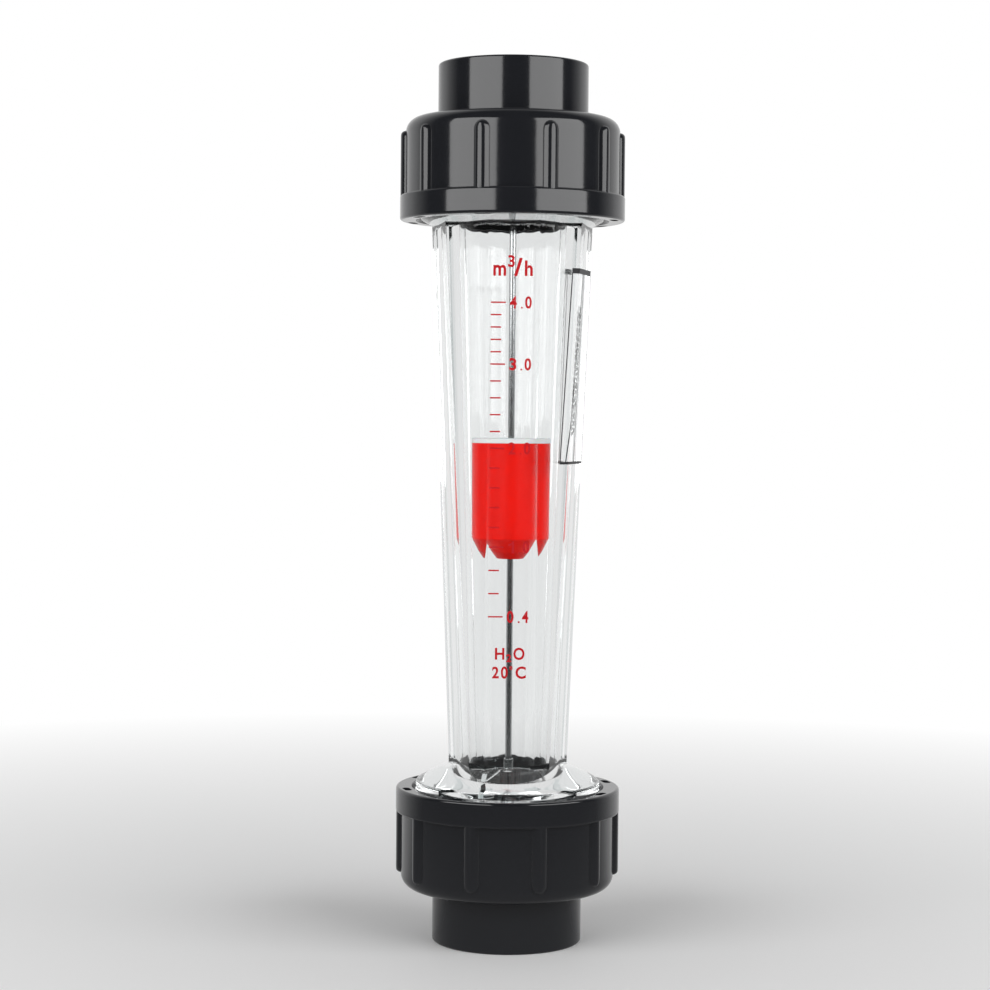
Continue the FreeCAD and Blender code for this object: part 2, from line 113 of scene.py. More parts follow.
def meshPiece(name, points, faces, smooth=True):
    # points in millimetres and faces that all have the same number of corners
    mesh = bpy.data.meshes.new(name)
    corners = [tuple(f) for f in np.asarray(faces).tolist()]
    mesh.from_pydata((np.asarray(points) * mm).tolist(), [], corners)
    mesh.polygons.foreach_set("use_smooth", [smooth] * len(mesh.polygons))
    mesh.update()
    piece = bpy.data.objects.new(name, mesh)
    bpy.context.scene.collection.objects.link(piece)
    return piece


def closedPiece(name, points, faces, weld=False):
    # faces of any size, turned outwards, with doubled points welded first where asked
    mesh = bpy.data.meshes.new(name)
    mesh.from_pydata((points * mm).tolist(), [], faces)
    piece = bpy.data.objects.new(name, mesh)
    bpy.context.scene.collection.objects.link(piece)
    shape = bmesh.new()
    shape.from_mesh(mesh)
    if weld:
        bmesh.ops.remove_doubles(shape, verts=shape.verts, dist=1e-8)
    bmesh.ops.recalc_face_normals(shape, faces=shape.faces)
    shape.to_mesh(mesh)
    shape.free()
    return piece


def gridQuads(rows, columns, closeRows=False):
    # quads of a grid whose columns close on themselves; rows close too for a ring-shaped section
    lastRow = rows if closeRows else rows - 1
    r, c = np.meshgrid(np.arange(lastRow), np.arange(columns), indexing="ij")
    rNext, cNext = (r + 1) % rows, (c + 1) % columns
    here, there = r * columns, rNext * columns
    return np.stack([here + c, here + cNext, there + cNext, there + c], -1).reshape(-1, 4)


def spun(x, y, turn):
    # (x, y) turned about the flow axis: x cos t - y sin t, x sin t + y cos t
    return np.stack([x * np.cos(turn) - y * np.sin(turn), x * np.sin(turn) + y * np.cos(turn)], -1)


def carriedRound(line, angle):
    # (radius, height) rows carried round the flow axis: x = r cos a, y = r sin a
    return np.stack([line[:, :1] * np.cos(angle), line[:, :1] * np.sin(angle),
                     np.repeat(line[:, 1:], len(angle), 1)], -1)


def outward(line):
    # a closed section run so that its area counts positive and its turned faces point outwards
    area = np.sum(line[:, 0] * np.roll(line[:, 1], -1) - np.roll(line[:, 0], -1) * line[:, 1])
    return line if area > 0 else line[::-1]


def roundedLine(corners, steps=6, hold=0.06, closed=True):
    # a section of (radius, height, round) corners: each corner becomes an arc that leaves both
    # sides at the distance round / tan(half the inner angle), with a point just outside each
    # arc's ends so that flat stretches keep flat shading
    spots = np.array([c[:2] for c in corners], float)
    rounds = [c[2] for c in corners]
    count = len(spots)
    line = []
    for i, spot in enumerate(spots):
        if not closed and i in (0, count - 1):
            line.append(spot)
            continue
        back, ahead = spots[i - 1] - spot, spots[(i + 1) % count] - spot
        backLength, aheadLength = np.hypot(*back), np.hypot(*ahead)
        back, ahead = back / backLength, ahead / aheadLength
        inner = math.acos(np.clip(back @ ahead, -1, 1))
        radius = max(rounds[i], 0.02)
        leave = min(radius / math.tan(inner / 2), backLength * 0.45, aheadLength * 0.45)
        radius = leave * math.tan(inner / 2)
        middle = back + ahead
        centre = spot + middle / np.hypot(*middle) * radius / math.sin(inner / 2)
        first, last = spot + back * leave - centre, spot + ahead * leave - centre
        sweep = math.atan2(first[0] * last[1] - first[1] * last[0], first @ last)
        line.append(centre + first + back * hold)
        for t in np.linspace(0, 1, steps + 1):
            line.append(centre + spun(first[0], first[1], sweep * t))
        line.append(centre + last + ahead * hold)
    return np.array(line)


def turned(name, corners, segments=128, steps=6, hold=0.06):
    # a closed section with rounded corners, turned about the flow axis
    line = outward(roundedLine(corners, steps, hold))
    angle = np.arange(segments) * 2 * math.pi / segments
    points = carriedRound(line, angle).reshape(-1, 3)
    return meshPiece(name, points, gridQuads(len(line), segments, True))


def spoke(start, reach, half, foot, top, turn):
    # an upright flat block that runs outwards from near the flow axis, turned about it
    flat = spun(np.array([start, reach, reach, start]), np.array([-half, -half, half, half]), turn)
    points = np.concatenate([np.c_[flat, np.full(4, foot)], np.c_[flat, np.full(4, top)]])
    faces = [(3, 2, 1, 0), (4, 5, 6, 7), (0, 1, 5, 4), (1, 2, 6, 5), (2, 3, 7, 6), (3, 0, 4, 7)]
    return meshPiece("spoke", points, faces, smooth=False)


def sealPoles(piece):
    # rows that sit on the axis become one point each, and faces keep pointing outwards
    shape = bmesh.new()
    shape.from_mesh(piece.data)
    bmesh.ops.remove_doubles(shape, verts=shape.verts, dist=1e-7)
    bmesh.ops.dissolve_degenerate(shape, edges=shape.edges, dist=1e-8)
    bmesh.ops.recalc_face_normals(shape, faces=shape.faces)
    shape.to_mesh(piece.data)
    shape.free()
    return piece


def combine(piece, tool, operation):
    # exact boolean, applied, with the tool removed
    change = piece.modifiers.new("join", "BOOLEAN")
    change.operation = operation
    change.object = tool
    change.solver = "EXACT"
    bpy.context.view_layer.update()
    evaluated = piece.evaluated_get(bpy.context.evaluated_depsgraph_get())
    mesh = bpy.data.meshes.new_from_object(evaluated)
    piece.modifiers.clear()
    piece.data = mesh
    bpy.data.objects.remove(tool)
    return piece


def shadeByAngle(piece, degrees=30):
    # smooth shading that breaks at edges sharper than the angle
    mesh = piece.data
    mesh.polygons.foreach_set("use_smooth", [True] * len(mesh.polygons))
    mesh.set_sharp_from_angle(angle=math.radians(degrees))
    return piece


def dress(piece, material, body, nodes=()):
    # material and moving body of a finished piece, and the nodes that it takes the place of
    piece.data.materials.clear()
    piece.data.materials.append(material)
    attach(piece, body)
    if nodes:
        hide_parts(*nodes)
    return piece


# measuring tube: ten facets, flanges with a thread, tapered bore
tubeShape = {
    "facetLow": 56.0, "facetHigh": 241.0,  # heights of the two ruling sections
    "frontHalfWidth": 8.42,  # stays the same all the way up
    "front": (17.9, 25.49), "side": (19.81, 26.87),  # these and the shoulders at those two heights
    "shoulderX": (13.05, 22.46), "shoulderY": (14.82, 15.94),
    "edgeRound": 1.2, "arcSteps": 6, "flatSteps": 9,
    "flangeRadius": 30.9, "lowerFlangeTop": 54.3, "lowerConeTop": 59.5, "lowerConeRadius": 20.0,
    "upperFlangeFoot": 241.3, "upperConeFoot": 239.45, "upperConeRadius": 26.6,
    "flangeBlend": 38.0,  # power of the soft minimum where the cones meet the flanges
    "coneBlend": 100.0,  # power of the soft maximum where the cones meet the facets
    "endRound": 0.5,
    "lowerConeRows": (53.0, 62.0), "upperConeRows": (236.8, 243.0), "coneRowStep": 0.15,
    "wallRows": (62.0, 236.5, 40),
}

threadShape = {
    "pitch": 4.0, "depth": 1.3, "flank": 1.6,
    "lowerSpan": (35.0, 50.5), "upperSpan": (243.5, 258.0), "fade": 1.5,
    "rowStep": 0.36, "nutDepth": 1.05,
}

boreShape = [  # (radius, height, round) from the foot up
    (26.3, tubeFoot, 0.3), (26.3, 50.0, 1.2), (15.6, 50.0, 0.1), (14.1, 57.0, 3.0),
    (20.35, 243.5, 0.1), (26.3, 243.5, 0.2), (26.3, tubeTop, 0.3),
]


def sectionCorners(height):
    # corners of the ten-sided section, straight-line between the two ruling sections
    s = tubeShape
    share = (np.asarray(height) - s["facetLow"]) / (s["facetHigh"] - s["facetLow"])

    def between(name):
        return s[name][0] + (s[name][1] - s[name][0]) * share

    w = np.full_like(share, s["frontHalfWidth"])
    front, side, zero = between("front"), between("side"), share * 0
    sx, sy = between("shoulderX"), between("shoulderY")
    x = [side, sx, w, -w, -sx, -side, -sx, -w, w, sx]
    y = [zero, sy, front, front, sy, zero, -sy, -front, -front, -sy]
    return np.stack([np.stack(x, -1), np.stack(y, -1)], -1)


def facetColumns(height):
    # every corner is an arc between its two sides, and every side has evenly spaced points
    s = tubeShape
    corners = sectionCorners(height)
    back = np.roll(corners, 1, 1) - corners
    ahead = np.roll(corners, -1, 1) - corners
    back = back / np.linalg.norm(back, axis=-1, keepdims=True)
    ahead = ahead / np.linalg.norm(ahead, axis=-1, keepdims=True)
    inner = np.arccos(np.sum(back * ahead, -1))[..., None]
    leave = s["edgeRound"] / np.tan(inner / 2)
    middle = back + ahead
    middle = middle / np.linalg.norm(middle, axis=-1, keepdims=True)
    centre = corners + middle * s["edgeRound"] / np.sin(inner / 2)
    first, last = corners + back * leave, corners + ahead * leave
    columns = []
    sweep = math.pi - inner[..., 0]
    arm = first - centre
    for t in np.linspace(0, 1, s["arcSteps"] + 1):
        columns.append(centre + spun(arm[..., 0], arm[..., 1], sweep * t))
    nextFirst = np.roll(first, -1, 1)
    for t in np.concatenate([[0.02], np.linspace(0, 1, s["flatSteps"] + 1)[1:-1], [0.98]]):
        columns.append(last + (nextFirst - last) * t)
    ring = np.stack(columns, 2)
    return ring.reshape(len(corners), -1, 2)


def threadWave(height, angle, span):
    # right-hand thread: the ridge climbs one pitch a turn, with flattened crests and roots
    t = threadShape
    turns = height / t["pitch"] - angle / (2 * math.pi)
    wave = np.clip(0.5 + t["flank"] / 2 * np.sin(2 * math.pi * turns), 0, 1)
    comeIn, runOut = (height - span[0]) / t["fade"], (span[1] - height) / t["fade"]
    return wave, np.clip(comeIn, 0, 1) * np.clip(runOut, 0, 1)


def flangeRadius(height, angle):
    # cylinder with a thread, running into the cones that meet the facets; the smaller of cylinder
    # and cones is taken softly, as (a^-p + b^-p)^(-1/p)
    s, t = tubeShape, threadShape
    lowerCone = s["lowerConeRadius"] + (s["lowerConeTop"] - height) * (
        s["flangeRadius"] - s["lowerConeRadius"]) / (s["lowerConeTop"] - s["lowerFlangeTop"])
    upperCone = s["upperConeRadius"] + (height - s["upperConeFoot"]) * (
        s["flangeRadius"] - s["upperConeRadius"]) / (s["upperFlangeFoot"] - s["upperConeFoot"])
    cone = np.maximum(lowerCone, upperCone)
    power = s["flangeBlend"]
    radius = (np.maximum(cone, 1.0) ** -power + s["flangeRadius"] ** -power) ** (-1 / power)
    for span in (t["lowerSpan"], t["upperSpan"]):
        wave, window = threadWave(height, angle, span)
        radius = radius - t["depth"] * (1 - wave) * window
    bend = s["endRound"]
    for end, sign in ((tubeFoot, 1), (tubeTop, -1)):
        depth = np.clip((height - end) * sign, 0, bend)
        radius = radius - (bend - np.sqrt(bend ** 2 - (bend - depth) ** 2))
    return radius


def tubeRows():
    # close rows over the threads, cones and end rounds, wide ones up the ruled facets
    s, threadStep = tubeShape, threadShape["rowStep"]
    (low, lowEnd), (highStart, high) = s["lowerConeRows"], s["upperConeRows"]
    lower = np.arange(tubeFoot, low, threadStep)
    lowerCone = np.arange(low, lowEnd, s["coneRowStep"])
    wall = np.linspace(*s["wallRows"])
    upperCone = np.arange(highStart, high, s["coneRowStep"])
    upper = np.arange(high, tubeTop, threadStep)
    ends = np.array([tubeFoot + 0.05, tubeFoot + 0.2, tubeTop - 0.2, tubeTop - 0.05, tubeTop])
    rows = np.concatenate([lower, lowerCone, wall, upperCone, upper, ends])
    return np.unique(np.round(rows, 4))


def makeTube():
    # outside: the larger of facets and flanges, taken softly as (a^p + b^p)^(1/p); inside: the
    # turned bore; both are joined at the ends by the grid closing on itself
    heights = tubeRows()
    ring = facetColumns(heights)
    wall = np.linalg.norm(ring, axis=-1)
    angle = np.unwrap(np.arctan2(ring[..., 1], ring[..., 0]), axis=1)
    flange = flangeRadius(heights[:, None], angle)
    power = tubeShape["coneBlend"]
    radius = (wall ** power + flange ** power) ** (1 / power)
    radius = np.where(radius > tubeShape["flangeRadius"], tubeShape["flangeRadius"], radius)
    outer = np.stack([radius * np.cos(angle), radius * np.sin(angle),
                      np.repeat(heights[:, None], angle.shape[1], 1)], -1)
    boreLine = roundedLine(boreShape, 8, 0.1, closed=False)[::-1]
    columns = angle.shape[1]
    turn = angle[0, 0] + np.arange(columns) * 2 * math.pi / columns
    points = np.concatenate([outer, carriedRound(boreLine, turn)])
    return meshPiece("measuringTube", points.reshape(-1, 3), gridQuads(len(points), columns, True))


# the tube's own rod guide: a hub with a stop sleeve on thin webs
lowerGuide = {
    "hubRadius": 3.2, "hubFoot": 46.0, "hubTop": 55.4, "sleeveRadius": 2.4, "sleeveTop": 61.4,
    "rodSocket": 1.67, "rodFoot": 48.0,
    "webs": 3, "webThickness": 1.6, "webStart": 2.6, "webReach": 16.5,
    "webFoot": 50.4, "webTop": 54.5,
}


def makeLowerGuide():
    # turned hub with flat webs out to the wall
    g = lowerGuide
    hub = sealPoles(turned("lowerHub", [
        (0.0, g["hubFoot"], 0), (g["hubRadius"], g["hubFoot"], 0.8),
        (g["hubRadius"], g["hubTop"], 0.5), (g["sleeveRadius"], g["hubTop"], 0.3),
        (g["sleeveRadius"], g["sleeveTop"], 0.25), (g["rodSocket"], g["sleeveTop"], 0.1),
        (g["rodSocket"], g["rodFoot"], 0.1), (0.0, g["rodFoot"], 0),
    ], 64))
    for k in range(g["webs"]):
        web = spoke(g["webStart"], g["webReach"], g["webThickness"] / 2, g["webFoot"], g["webTop"],
                    2 * math.pi * k / g["webs"])
        hub = combine(hub, web, "UNION")
    return hub


# union nuts: domed end, rim band, round-ended ribs, cored pockets, thread inside
nutShape = {
    "height": 34.0, "start": 18.0, "holeRadius": 25.3, "bodyRadius": 35.7, "domeRound": 9.0,
    "rimRadius": 37.5, "rimHeight": 8.4, "rimRound": 0.9, "stepRound": 0.35, "mouthRadius": 32.3,
    "mouthDepth": 2.6, "threadRadius": 31.2, "threadSpan": (26.5, 49.5), "endWall": 6.9,
    "segments": 180,
    "ribs": 10, "ribTop": 37.4, "ribRound": 3.0, "ribSteps": 12, "ribEnd": 7.0, "ribBlunt": 0.4,
    "ribRoot": 1.6, "ribHead": 1.0,  # how far a rib reaches into the body and up into the rim
    "pockets": 8, "pocketRadius": 34.8, "pocketHalf": (1.2, 1.8), "pocketDepth": 6.0,
    "pocketPhase": 17.5, "lowerTurn": -2.6,  # degrees
}


def nutWall():
    # the turned blank; its inner wall carries the thread that the tube's flange screws into
    n, t = nutShape, threadShape
    rimFoot = n["height"] - n["rimHeight"]
    line = roundedLine([
        (n["holeRadius"], 0.0, 0.6), (n["bodyRadius"], 0.0, n["domeRound"]),
        (n["bodyRadius"], rimFoot, n["stepRound"]), (n["rimRadius"], rimFoot, n["rimRound"]),
        (n["rimRadius"], n["height"], n["rimRound"]), (n["mouthRadius"], n["height"], 0.3),
        (n["threadRadius"], n["height"] - n["mouthDepth"], 0.3),
        (n["threadRadius"], n["endWall"], 0.6), (n["holeRadius"], n["endWall"], 0.5),
    ], 10, 0.1)
    return finerRows(line, n["threadRadius"] + 0.01, t["rowStep"])


def finerRows(line, radiusLimit, step):
    # splits the long stretch of the inner wall into rows close enough to carry the thread
    rows = []
    for here, there in zip(line, np.roll(line, -1, 0)):
        rows.append(here)
        length = np.hypot(*(there - here))
        upright = abs(there[0] - here[0]) < 0.01
        if length > 4 * step and upright and max(here[0], there[0]) < radiusLimit:
            count = int(length / step)
            rows.extend(here + (there - here) * k / count for k in range(1, count))
    return np.array(rows)


def stadiumLoops(levels, straight, turnSteps=10, oneEnd=True):
    # outlines of a round-ended bar, one for each (half width, level, reach of the round end)
    loops = []
    bend = np.linspace(0, math.pi, turnSteps + 1)
    for half, level, *reach in levels:
        blunt = reach[0] if reach else half
        foot = np.stack([half * np.cos(bend), -blunt * np.sin(bend)], -1)[::-1]
        if oneEnd:
            head = np.array([[half, straight], [-half, straight]])
        else:
            head = np.stack([half * np.cos(bend), straight + half * np.sin(bend)], -1)
        loop = np.concatenate([foot, head])
        loops.append(np.c_[loop, np.full(len(loop), level)])
    return np.array(loops)


def loopsToPiece(name, loops, place):
    # place turns (across, along, level) into a point; both ends are closed with one face
    rows, columns = loops.shape[:2]
    points = place(loops.reshape(-1, 3))
    faces = gridQuads(rows, columns).tolist()
    faces += [list(range(columns))[::-1], list(range((rows - 1) * columns, rows * columns))]
    return closedPiece(name, points, faces)


def joinPieces(pieces, name):
    bpy.ops.object.select_all(action="DESELECT")
    for piece in pieces:
        piece.select_set(True)
    bpy.context.view_layer.objects.active = pieces[0]
    bpy.ops.object.join()
    pieces[0].name = name
    pieces[0].data.name = name
    return pieces[0]


def nutRibs():
    # half-round beads: the section is a circle, and the closed end is blunter than a ball
    n = nutShape
    bend, axis = n["ribRound"], n["ribTop"] - n["ribRound"]
    levels = [(bend, axis - n["ribRoot"])]
    # short of the top, which one face closes
    for t in np.linspace(0, 0.97 * math.pi / 2, n["ribSteps"]):
        half = bend * math.cos(t)
        levels.append((half, axis + bend * math.sin(t), bend * math.cos(t) ** n["ribBlunt"]))
    loops = stadiumLoops(levels, n["height"] - n["rimHeight"] + n["ribHead"] - n["ribEnd"])
    ribs = []
    for k in range(n["ribs"]):
        turn = 2 * math.pi * k / n["ribs"]

        def place(p, turn=turn):
            # the level is the radius, and across is measured along the arc
            radius = p[:, 2]
            angle = turn + p[:, 0] / radius
            return np.stack([radius * np.cos(angle), radius * np.sin(angle),
                             n["ribEnd"] + p[:, 1]], -1)

        ribs.append(loopsToPiece("rib", loops, place))
    return joinPieces(ribs, "ribs")


def nutPockets():
    # round-ended slots, cored into the rim's open face and one millimetre out of it
    n = nutShape
    half, straight = n["pocketHalf"]
    top = n["height"]
    levels = [(half, top - n["pocketDepth"]), (half, top + 1.0)]
    loops = stadiumLoops(levels, 2 * straight, 8, oneEnd=False)
    pockets = []
    for k in range(n["pockets"]):
        turn = math.radians(n["pocketPhase"]) + 2 * math.pi * k / n["pockets"]

        def place(p, turn=turn):
            return np.c_[spun(n["pocketRadius"] + p[:, 0], p[:, 1] - straight, turn), p[:, 2]]

        pockets.append(loopsToPiece("pocket", loops, place))
    return joinPieces(pockets, "pockets")


def makeNut(name, lower):
    # modelled mouth up on its own foot; the upper one is then stood on its head
    n, t = nutShape, threadShape
    line = outward(nutWall())
    angle = np.arange(n["segments"]) * 2 * math.pi / n["segments"]
    radius = np.repeat(line[:, :1], len(angle), 1)
    height = np.repeat(line[:, 1:], len(angle), 1)
    turn = angle[None, :] + np.zeros_like(height)
    spin = math.radians(n["lowerTurn"])
    low, high = n["threadSpan"]
    if lower:
        worldHeight, worldTurn, span = height + n["start"], turn + spin, (low, high)
    else:
        worldHeight, worldTurn = meterHeight - n["start"] - height, -turn
        span = (meterHeight - high, meterHeight - low)
    wave, window = threadWave(worldHeight, worldTurn, span)
    threaded = (np.abs(radius - n["threadRadius"]) < 0.01) & (height > n["endWall"])
    # ridges are narrower than the tube's grooves
    ridge = t["nutDepth"] * np.clip(1 - 1.5 * wave, 0, 1) * window
    radius = np.where(threaded, radius - ridge, radius)
    points = np.stack([radius * np.cos(angle), radius * np.sin(angle), height], -1)
    nut = meshPiece(name, points.reshape(-1, 3), gridQuads(len(line), len(angle), True))
    combine(nut, nutRibs(), "UNION")
    combine(nut, nutPockets(), "DIFFERENCE")
    stand = n["start"] if lower else meterHeight - n["start"]
    tip = Matrix.Rotation(spin, 4, "Z") if lower else Matrix.Rotation(math.pi, 4, "X")
    nut.data.transform(Matrix.Translation((0, 0, stand * mm)) @ tip)
    shadeByAngle(nut, 32)
    return nut


# end connectors: pipe socket, collar and seal groove
socketShape = {
    "stack": 32.0, "radius": 25.0, "bore": 20.0, "depth": 26.0, "flow": 17.0,
    "collar": 30.4, "collarHeight": 7.0, "seal": 27.3, "grooveHalf": 1.65, "grooveDepth": 2.8,
    "edgeRound": 0.8, "boreChamfer": 1.0,
}


def makeConnector(name, lower):
    # turned about the flow axis; the upper one is stood on its head
    c = socketShape
    top, collarFoot = c["stack"], c["stack"] - c["collarHeight"]
    grooveOuter, grooveInner = c["seal"] + c["grooveHalf"], c["seal"] - c["grooveHalf"]
    grooveFloor = top - c["grooveDepth"]
    piece = turned(name, [
        (c["bore"], c["boreChamfer"], 0.2), (c["bore"] + c["boreChamfer"], 0.0, 0.2),
        (c["radius"], 0.0, c["edgeRound"]), (c["radius"], collarFoot, 0.4),
        (c["collar"], collarFoot, 0.4), (c["collar"], top, 0.4),
        (grooveOuter, top, 0.15), (grooveOuter, grooveFloor, 0.2),
        (grooveInner, grooveFloor, 0.2), (grooveInner, top, 0.15),
        (c["flow"], top, 0.3), (c["flow"], c["depth"], 0.3), (c["bore"], c["depth"], 0.3),
    ], 160, 8)
    if not lower:
        lift = Matrix.Translation((0, 0, meterHeight * mm))
        piece.data.transform(lift @ Matrix.Rotation(math.pi, 4, "X"))
    return piece


# float: moulded cup with a lid, on a sleeve that runs on the rod
floatShape = {
    "radius": 13.0, "bodyTop": 167.3, "wall": 1.6, "floor": 2.0,
    "sleeve": 2.4, "sleeveBore": 1.72, "spigot": 2.0, "spigotGap": 0.05,
    # the nose is two cones; corners are (radius, rise, round)
    "nose": [(6.7, 0.0, 0.4), (9.4, 2.4, 1.2), (13.0, 6.8, 1.2)],
    "cavity": [(6.5, 2.0, 0.3), (8.2, 3.5, 0.5), (11.4, 7.4, 1.0)],
}


def makeFloatBody():
    # turned cup: up the outside, over the rim and back down the cavity
    f = floatShape
    inner, floor = f["radius"] - f["wall"], floatFoot + f["floor"]
    nose = [(radius, floatFoot + rise, blend) for radius, rise, blend in f["nose"]]
    cavity = [(radius, floatFoot + rise, blend) for radius, rise, blend in reversed(f["cavity"])]
    return turned("floatBody", [
        (f["sleeve"], floatFoot, 0.3), *nose, (f["radius"], f["bodyTop"], 0.15),
        (inner, f["bodyTop"], 0.1), *cavity, (f["sleeve"], floor, 0.2),
    ], 160, 8)


def makeFloatCap():
    # turned lid whose spigot sits in the cup
    f = floatShape
    inner, spigotFoot = f["radius"] - f["wall"] - f["spigotGap"], f["bodyTop"] - f["spigot"]
    return turned("floatCap", [
        (f["sleeve"], spigotFoot, 0.2), (inner, spigotFoot, 0.3), (inner, f["bodyTop"], 0.05),
        (f["radius"], f["bodyTop"], 0.12), (f["radius"], floatTop, 0.45),
        (f["sleeve"], floatTop, 0.2),
    ], 160, 8)


def makeFloatSleeve():
    # turned tube, as long as the float
    f = floatShape
    return turned("floatSleeve", [
        (f["sleeveBore"], floatFoot, 0.12), (f["sleeve"], floatFoot, 0.12),
        (f["sleeve"], floatTop, 0.12), (f["sleeveBore"], floatTop, 0.12),
    ], 64)


def makeRod():
    # turned bar with broken edges, as thick and long as the frame's
    low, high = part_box("guide_rod")
    radius, foot, top = (high.x - low.x) / 2 / mm, low.z / mm, high.z / mm
    return sealPoles(turned("guideRod", [
        (0.0, foot, 0), (radius, foot, 0.4), (radius, top, 0.4), (0.0, top, 0),
    ], 64))


# rod holder: a ring in the tube's top seat with three arms to a hub
holderShape = {
    "seatFoot": 243.6, "outer": 26.2, "inner": 19.4, "top": 260.6, "edge": 0.5,
    "hubFoot": 240.1, "hub": 3.6, "hubTop": 257.5,
    "arms": 3, "armHalf": 1.3, "armStart": 1.0, "armReach": 20.6, "armFoot": 245.0, "armTop": 256.0,
}


def makeRodHolder():
    # turned ring and hub, with flat upright arms between them
    h = holderShape
    ring = turned("rodHolder", [
        (h["inner"], h["seatFoot"], h["edge"]), (h["outer"], h["seatFoot"], 0.1),
        (h["outer"], h["top"], 0.3), (h["inner"], h["top"], 0.3),
    ], 160, 6)
    hub = sealPoles(turned("hub", [
        (0.0, h["hubFoot"], 0), (h["hub"], h["hubFoot"], h["edge"]), (h["hub"], h["hubTop"], 0.8),
        (0.0, h["hubTop"], 0),
    ], 64))
    parts = combine(ring, hub, "UNION")
    for k in range(h["arms"]):
        arm = spoke(h["armStart"], h["armReach"], h["armHalf"], h["armFoot"], h["armTop"],
                    2 * math.pi * k / h["arms"])
        parts = combine(parts, arm, "UNION")
    shadeByAngle(parts, 35)
    return parts


# printed scale on the front face: across, from the face's middle, and up, from the meter's foot
scalePrint = {
    "marks": [("4.0", 213.1), ("3.0", 193.1), ("2.0", 165.74), ("1.0", 133.43), ("0.4", 110.57)],
    "divisions": [5, 5, 5, 3],
    "tickStart": -7.5, "longTick": 4.8, "shortTick": 3.45, "tickHeight": 0.48,
    "figureHeight": 4.0, "dotHeight": 0.6, "figureBoxes": [(-1.36, 0.95), (2.25, 2.9), (3.6, 5.75)],
    "narrowOne": (-1.04, 0.86), "narrowZero": (-1.36, 0.9),
    "lift": 0.006, "film": 0.03, "weight": 0.026,
    "words": [  # (glyph, left, right, foot, top)
        ("m", -6.8, -2.67, 221.65, 225.15), ("3", -2.05, 0.13, 224.45, 228.35),
        ("/", -0.1, 2.7, 221.55, 227.45), ("h", 3.4, 5.98, 221.65, 226.65),
        ("H", -5.1, -2.0, 96.45, 100.35), ("2", -1.45, 0.3, 95.65, 98.25),
        ("O", 0.95, 4.6, 96.35, 100.45),
        ("2", -6.0, -3.75, 90.25, 94.15), ("0", -3.1, -0.85, 90.15, 94.25),
        ("°", -0.35, 0.75, 93.05, 94.35), ("C", 1.7, 5.1, 90.15, 94.25),
    ],
}


def frontFace(points):
    # lays (across, up, out) points on the sloping front face
    s = tubeShape
    share = (points[:, 1] - s["facetLow"]) / (s["facetHigh"] - s["facetLow"])
    front = s["front"][0] + (s["front"][1] - s["front"][0]) * share
    return np.stack([points[:, 0], -(front + points[:, 2]), points[:, 1]], -1)


def flatBox(left, right, foot, top):
    # a tick: a rectangle with the ink's thickness
    p = scalePrint
    low, high = p["lift"], p["lift"] + p["film"]
    x, z = [left, right, right, left], [foot, foot, top, top]
    points = np.array([[a, b, low] for a, b in zip(x, z)] + [[a, b, high] for a, b in zip(x, z)])
    faces = [(0, 1, 2, 3), (7, 6, 5, 4), (1, 0, 4, 5), (2, 1, 5, 6), (3, 2, 6, 7), (0, 3, 7, 4)]
    return points, faces


def glyphMesh(character, left, right, foot, top):
    # a character of the built-in sans face, fitted into its box and given the ink's thickness
    p = scalePrint
    curve = bpy.data.curves.new("glyph", "FONT")
    curve.body = character
    curve.resolution_u = 6
    curve.offset = p["weight"]
    curve.extrude = 0.01
    carrier = bpy.data.objects.new("glyph", curve)
    bpy.context.scene.collection.objects.link(carrier)
    bpy.context.view_layer.update()
    evaluated = carrier.evaluated_get(bpy.context.evaluated_depsgraph_get())
    mesh = bpy.data.meshes.new_from_object(evaluated)
    bpy.data.objects.remove(carrier)
    spots = np.zeros(len(mesh.vertices) * 3)
    mesh.vertices.foreach_get("co", spots)
    spots = spots.reshape(-1, 3)
    low, high = spots.min(0), spots.max(0)
    share = (spots - low) / (high - low)
    points = np.stack([left + (right - left) * share[:, 0], foot + (top - foot) * share[:, 1],
                       p["lift"] + p["film"] * share[:, 2]], -1)
    faces = [tuple(f.vertices) for f in mesh.polygons]
    bpy.data.meshes.remove(mesh)
    return points, faces


def figureOne(left, right, foot, top):
    # a stem with a sloping flag, because the built-in one is a plain bar when drawn this narrow
    p = scalePrint
    flat = np.array([(0.56, 0), (1, 0), (1, 1), (0.66, 1), (0.48, 0.86), (0, 0.74), (0, 0.59),
                     (0.56, 0.7)])
    flat = np.array([left, foot]) + flat * [right - left, top - foot]
    low, high = np.full((8, 1), p["lift"]), np.full((8, 1), p["lift"] + p["film"])
    points = np.concatenate([np.hstack([flat, low]), np.hstack([flat, high])])
    sides = [(k, (k + 1) % 8, (k + 1) % 8 + 8, k + 8) for k in range(8)]
    return points, [tuple(range(7, -1, -1)), tuple(range(8, 16))] + sides


def scaleTicks():
    # long ticks at the marks and short ones evenly between them
    p = scalePrint
    half, start = p["tickHeight"] / 2, p["tickStart"]
    boxes = []
    for (_, high), (_, low), parts in zip(p["marks"], p["marks"][1:], p["divisions"]):
        for k in range(1, parts):
            middle = high + (low - high) * k / parts
            boxes.append((start, start + p["shortTick"], middle - half, middle + half))
    for _, middle in p["marks"]:
        boxes.append((start, start + p["longTick"], middle - half, middle + half))
    return [flatBox(*box) for box in boxes]


